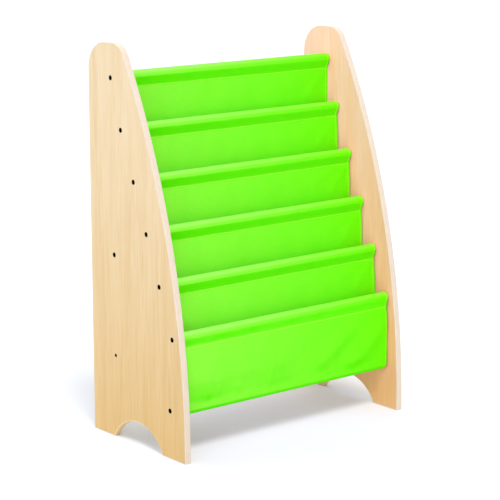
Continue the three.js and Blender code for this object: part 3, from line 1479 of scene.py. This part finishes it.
    def sew_hems(self, bm: BMesh, pill: bpy.types.Mesh) -> None:
        """Sews the row inside each side hem, which shows on both faces of the cloth.

        Args:
            bm: the bmesh that holds the stitches.
            pill: the stitch's shape.
        """
        lift = self.hem_thickness / 2 + self.stitch_clearance
        for side in Side:
            across = side.value * (self.half_width - self.hem_stitch_inset)
            for number in range(1, int(self.length / self.stitch_pitch)):
                along = number * self.stitch_pitch
                start, end = self.spot(across, along), self.spot(across, along + self.stitch_length)
                facing = self.path.facing(self.path.near(along)[0])
                face = Vector((0, facing.x, facing.y))
                for layer in Layer:
                    self.stitch(bm, pill, start, end, layer.value * face, lift)

    def build_stitches(self, finish: Material) -> Piece:
        """Makes the stitches of the seam and of the hems.

        Args:
            finish: the thread.

        Returns:
            The stitches' object.
        """
        bm, pill = bmesh.new(), self.make_pill()
        self.sew_seam(bm, pill)
        self.sew_hems(bm, pill)
        bpy.data.meshes.remove(pill)
        return finish_piece(f"{self.name}_stitching", bm, finish, crease=180)

    def build(self, finishes: Finishes) -> None:
        """Args:
            finishes: the shelf's finishes.
        """
        sheet = self.build_sheet(finishes.canvas)
        stitches = self.build_stitches(finishes.thread)

    def rests_on(self) -> list[str]:
        """The rods that the piece hangs from."""
        return [self.rail]


@dataclass
class Pocket(Cloth):
    """A book pocket: from its rod down a back wall, round the bottom and up to the next rod's seam."""

    next_rail: str = ""
    seam: Vector = field(default_factory=lambda: Vector((-4.5 * MM, -21.5 * MM)))
    next_seam: Vector = field(default_factory=lambda: Vector((-4.5 * MM, -21.5 * MM)))
    tail: float = 0.0
    drop: float = 105 * MM
    back_setback: float = 30 * MM
    front_setback: float = 2 * MM
    hang_rounds: int = 12
    sag: float = 5 * MM
    ripple: float = 1.2 * MM
    ripple_waves: float = 3
    crumple: float = 1.4 * MM
    crumple_scales: tuple[float, float, float] = (9, 4.5, 3.1)
    crumple_fade: float = 50 * MM
    fine_share: float = 0.5
    fine_scale: float = 2.3
    fold_fade: float = 12 * MM
    seed: float = 0.0
    end_folds: tuple[Fold, ...] = (
        Fold((0.99, 0.0), (0.90, 0.34), 11 * MM, 0.9 * MM),
        Fold((0.95, 0.0), (0.82, 0.20), 10 * MM, 0.5 * MM),
        Fold((0.01, 0.0), (0.08, 0.36), 11 * MM, 0.9 * MM),
    )

    def draw_path(self) -> SidePath:
        """Draws the sleeve, the back wall, the round bottom and the front ply.

        Returns:
            The path, not yet measured.
        """
        following = axis_of(self.next_rail)
        rear = self.axis + self.seam + Vector((self.layer_offset, 0))
        path = SidePath(rear - Vector((0, self.tail)), self.spacing)
        if self.tail:
            path.line(rear)
        self.run_sleeve(path, self.seam)
        radius = (self.back_setback - self.front_setback) / 2
        bottom = following.y - self.drop + radius
        centre = Vector((following.x + self.front_setback + radius, bottom))
        self.wall = (path.points[-1] - centre).length
        path.line(centre + Vector((radius, 0)))
        path.arc(centre, radius, 0, -math.pi)
        last = path.line(following + self.next_seam + Vector((self.layer_offset, -self.layer_offset)))
        self.hang_top = following.y + self.next_seam.y
        self.hang_low = following.y - self.drop
        path.relax(self.marks[Mark.SEAM], last, self.hang_rounds)
        return path

    def shift(self, across: float, index: int) -> Vector:
        """Lets the pocket sag between its sides, with soft upright ripples and a few creases.

        Args:
            across: the place across the cloth.
            index: the path's point.

        Returns:
            How far the cloth lies off its path, (depth, height).
        """
        if index <= self.marks[Mark.SEAM]:
            return Vector((0, 0))
        share, height = across / self.half_width, self.path.points[index].y
        lowness = smooth_step(self.hang_top, self.hang_low, height)
        fall = self.past(Mark.SEAM, index)
        left = self.path.lengths[-1] - self.path.lengths[index]
        free = smooth_step(0, self.crumple_fade, fall) * smooth_step(0, self.crumple_fade, left)
        ripple = self.ripple * math.cos(share * self.ripple_waves * math.pi + self.seed)
        wide, long, deep = self.crumple_scales
        place = Vector((across * wide, height * long, self.seed * deep))
        fine = self.fine_share * noise.noise(self.fine_scale * place)
        crease = self.crumple * (noise.noise(place) + fine)
        spot = Vector((across + self.half_width, fall))
        folds = sum(fold.rise(spot, 2 * self.half_width, self.wall) for fold in self.end_folds)
        return Vector((
            -ripple * lowness + free * crease - smooth_step(0, self.fold_fade, fall) * folds,
            -self.sag * math.cos(share * math.pi / 2) * lowness * lowness,
        ))

    def rests_on(self) -> list[str]:
        """The rods that the piece hangs from."""
        return [self.rail, self.next_rail]


@dataclass
class Apron(Cloth):
    """The front apron: a sleeve, a plumb sheet, and a loose tunnel round the bottom rod.

    The sheet's forms fade out over the top and the foot shares of its fall.
    """

    bottom_rod: str = "bottom_front_rod"
    seam: Vector = field(default_factory=lambda: Vector((-8 * MM, -21 * MM)))
    seam_lead: float = 36 * MM
    corner_radius: float = 11 * MM
    corner_fineness: float = 1.5
    wrap_radius: float = 11.9 * MM
    tunnel_rise: float = 40 * MM
    tunnel_setback: float = 3 * MM
    tape_height: float = 20 * MM
    tape_thickness: float = 1.4 * MM
    tape_spare: float = 2 * MM
    tape_round: float = 0.4 * MM
    seam_draw: float = 3.6 * MM
    corner_draw: float = 4.5 * MM
    side_curl: float = 2.6 * MM
    side_curl_width: float = 5 * MM
    corner_reach: float = 11 * MM
    top_share: float = 0.06
    foot_share: float = 0.22
    swell: float = 0.96 * MM
    swell_waves: float = 2.5
    grain: float = 0.5 * MM
    grain_scales: tuple[float, float] = (22, 9)
    grain_seed: float = 4.7
    folds: tuple[Fold, ...] = (
        Fold((0.93, 0.44), (0.81, 0.82), 26 * MM, 4.6 * MM),
        Fold((0.80, 0.26), (0.66, 0.66), 26 * MM, 4.6 * MM),
        Fold((0.965, 0.02), (0.955, 0.36), 10 * MM, 1.2 * MM),
        Fold((0.02, 0.50), (0.44, 0.46), 46 * MM, 4.8 * MM),
        Fold((0.56, 0.08), (0.555, 0.42), 9 * MM, 0.8 * MM),
        Fold((0.415, 0.30), (0.405, 0.95), 8 * MM, 1.2 * MM),
        Fold((0.25, 0.76), (0.255, 1.0), 7 * MM, 0.9 * MM),
        Fold((0.16, 0.62), (0.165, 1.0), 7 * MM, 0.9 * MM),
        Fold((0.11, 0.50), (0.115, 0.85), 8 * MM, 0.9 * MM),
    )

    def draw_path(self) -> SidePath:
        """Draws the sleeve, the sheet, the corner under it and the way round the bottom rod.

        Returns:
            The path, not yet measured.
        """
        rod = axis_of(self.bottom_rod)
        path = SidePath(self.axis + self.seam + Vector((self.layer_offset, 0)), self.spacing)
        self.run_sleeve(path, self.seam)
        sheet_line = self.axis.x - self.sleeve_radius + self.layer_offset
        underside = rod.y - self.wrap_radius
        corner = Vector((sheet_line + self.corner_radius, underside + self.corner_radius))
        path.line(Vector((sheet_line, self.axis.y + self.seam.y - self.seam_lead)))
        self.marks[Mark.BEND] = path.line(Vector((sheet_line, corner.y)))
        path.arc(corner, self.corner_radius, math.pi, 1.5 * math.pi, finer=self.corner_fineness)
        path.line(Vector((rod.x, underside)))
        seat = Vector((sheet_line + self.layer_offset + self.thickness / 2, rod.y + self.tunnel_rise))
        to_seat = seat - rod
        leave = math.atan2(to_seat.y, to_seat.x) - math.acos(self.wrap_radius / to_seat.length)
        path.arc(rod, self.wrap_radius, -math.pi / 2, leave, finer=self.corner_fineness)
        path.line(seat)
        self.marks[Mark.CLOSURE] = path.line(seat + Vector((0, self.tape_height)))
        return path

    def shift(self, across: float, index: int) -> Vector:
        """Swells the sheet a little between its seam and its bottom, and raises its folds.

        Args:
            across: the place across the cloth.
            index: the path's point.

        Returns:
            How far the cloth lies off its path, (depth, height).
        """
        seam, bend = self.marks[Mark.SEAM], self.marks[Mark.BEND]
        setback = self.path.points[index].x - self.path.points[seam].x
        if index <= seam or (index > bend and setback > self.tunnel_setback):
            return Vector((0, 0))
        fall = self.past(Mark.SEAM, bend)
        down = min(self.past(Mark.SEAM, index), fall)
        share = down / fall
        held = smooth_step(0, self.top_share, share) * smooth_step(0, self.foot_share, 1 - share)
        waves = math.cos(across / self.half_width * self.swell_waves * math.pi)
        swell = self.swell * math.sin(share * math.pi) * waves
        place = Vector((across + self.half_width, down))
        folds = sum(fold.rise(place, 2 * self.half_width, fall) for fold in self.folds)
        wide, long = self.grain_scales
        grain = self.grain * noise.noise(Vector((across * wide, down * long, self.grain_seed)))
        curl = self.side_curl * self.at_side(across, self.side_curl_width)
        return Vector((curl - held * (swell + folds + grain), 0))

    def drawn_in(self, index: int) -> float:
        """Draws the side edges in at the seam, and rounds the sheet's lower corners."""
        corner = smooth_step(-self.corner_reach, self.corner_radius, self.past(Mark.BEND, index))
        return super().drawn_in(index) + self.corner_draw * corner * corner

    def build_tape(self, finish: Material) -> Piece:
        """Makes the tape that closes the tunnel, on the inner end of the canvas.

        Args:
            finish: the tape's material.

        Returns:
            The tape's object.
        """
        end = self.path.points[self.marks[Mark.CLOSURE]]
        depth = end.x + self.thickness / 2 + self.tape_thickness / 2
        width, height = 2 * (self.half_width - self.hem_width), self.tape_height - self.tape_spare
        size = Matrix.Diagonal((width, self.tape_thickness, height, 1))
        bm = bmesh.new()
        bmesh.ops.create_cube(bm, size=1, matrix=Matrix.Translation(
            (0, depth, end.y - self.tape_height / 2)) @ size)
        bmesh.ops.bevel(bm, geom=bm.edges[:], offset=self.tape_round, affect="EDGES", segments=2,
                        profile=0.5, material=-1)
        return finish_piece("apron_closing_tape", bm, finish)

    def build(self, finishes: Finishes) -> None:
        """Makes the canvas, its stitches and the closing tape."""
        super().build(finishes)
        self.build_tape(finishes.tape)

    def rests_on(self) -> list[str]:
        """The rods that the piece hangs from."""
        return [self.rail, self.bottom_rod]


@dataclass
class Sling:
    """The whole sling: five pockets and the apron below them."""

    pocket_count: int = 5
    top_tail: float = 12 * MM
    seed_step: float = 1.7

    def build(self, finishes: Finishes) -> None:
        """Makes each piece of the sling in order from the top.

        Args:
            finishes: the shelf's finishes.
        """
        apron = Apron("apron_canvas", "front_apron", f"sling_rod_{self.pocket_count + 1}")
        for number in range(1, self.pocket_count + 1):
            extra = {"next_seam": apron.seam} if number == self.pocket_count else {}
            Pocket(
                f"pocket_canvas_{number}", f"sling_pocket_{number}", f"sling_rod_{number}",
                next_rail=f"sling_rod_{number + 1}", seed=self.seed_step * number,
                tail=self.top_tail if number == 1 else 0.0, **extra,
            ).build(finishes)
        apron.build(finishes)


# Stage


@dataclass(frozen=True)
class Lamp:
    """A far, soft lamp: the way that it lies in, its strength, and how wide it looks in degrees."""

    name: str
    source: tuple[float, float, float]
    strength: float
    width: float

    def hang(self) -> None:
        """Adds the lamp as a sun that the camera doesn't see."""
        sun = bpy.data.lights.new(self.name, "SUN")
        sun.energy = self.strength
        sun.angle = math.radians(self.width)
        lamp = show(self.name, sun)
        lamp.location = self.source
        lamp.rotation_euler = Vector(self.source).to_track_quat("Z", "Y").to_euler()
        lamp.visible_camera = False


@dataclass
class Studio:
    """The white floor and backdrop, the lamps, and the camera at the photograph's angle."""

    floor_size: float = 60.0
    world_strength: float = 0.6
    floor_white: LinearColour = (0.857, 0.886, 0.941, 1)
    floor_bounce: LinearColour = (0.68, 0.68, 0.68, 1)
    lamps: tuple[Lamp, ...] = (
        Lamp("high_front", (-0.25, -0.6, 1), 1.52, 20),
        Lamp("low_left", (-0.8, -0.56, 0.2), 0.79, 50),
        Lamp("high_rear", (0, 0.55, 0.83), 1.15, 70),
    )
    camera_place: tuple[float, float, float] = (-2.6557, -3.2489, 1.3121)
    camera_yaw: float = 39.243
    camera_dip: float = 12.111
    camera_lens: float = 131.68
    camera_sensor: float = 36.0

    def build_world(self) -> None:
        """Lights the scene evenly, and shows white to the camera and in reflections."""
        world = bpy.data.worlds.new("studio")
        bpy.context.scene.world = world
        tree = Tree(world)
        mix = tree.add("ShaderNodeMixShader")
        tree.join(tree.seen_rays(), mix.inputs[0])
        for target, strength in ((mix.inputs[1], self.world_strength), (mix.inputs[2], 1)):
            light = tree.add("ShaderNodeBackground")
            light.inputs["Strength"].default_value = strength
            light.inputs["Color"].default_value = (1, 1, 1, 1)
            tree.join(light.outputs["Background"], target)
        tree.join(mix.outputs["Shader"], tree.add("ShaderNodeOutputWorld").inputs["Surface"])

    def build_floor(self) -> None:
        """Lays a wide floor that keeps the shelf's shadow and is white elsewhere."""
        material = bpy.data.materials.new("white_floor")
        tree = Tree(material)
        diffuse = tree.add("ShaderNodeBsdfDiffuse")
        tree.join(tree.mix(tree.seen_rays(), self.floor_bounce, self.floor_white), diffuse.inputs["Color"])
        tree.join(diffuse.outputs["BSDF"], tree.add("ShaderNodeOutputMaterial").inputs["Surface"])
        bm = bmesh.new()
        bmesh.ops.create_grid(bm, x_segments=1, y_segments=1, size=self.floor_size / 2)
        floor = show("floor", as_mesh("floor", bm))
        floor.data.materials.append(material)

    def build_camera(self) -> None:
        """Puts the camera where the photograph was taken from."""
        data = bpy.data.cameras.new("camera")
        data.lens = self.camera_lens
        data.sensor_width = self.camera_sensor
        data.clip_end = 2 * self.floor_size
        camera = show("camera", data)
        camera.location = self.camera_place
        tilt = math.radians(90 - self.camera_dip)
        camera.rotation_euler = (tilt, 0, -math.radians(self.camera_yaw))
        bpy.context.scene.camera = camera

    def build(self) -> None:
        """Makes the whole stage."""
        bpy.context.scene.view_settings.view_transform = "Standard"
        self.build_camera()
        self.build_world()
        self.build_floor()
        for lamp in self.lamps:
            lamp.hang()


def main() -> None:
    """Builds the stage and every sub-assembly in order."""
    logging.basicConfig(level=logging.INFO, format="%(name)s %(message)s")
    Studio().build()
    finishes = Finishes()
    for side in Side:
        SidePanel(side).build(finishes)
    RodSet().build(finishes)
    Sling().build(finishes)


if __name__ == "__main__":
    main()
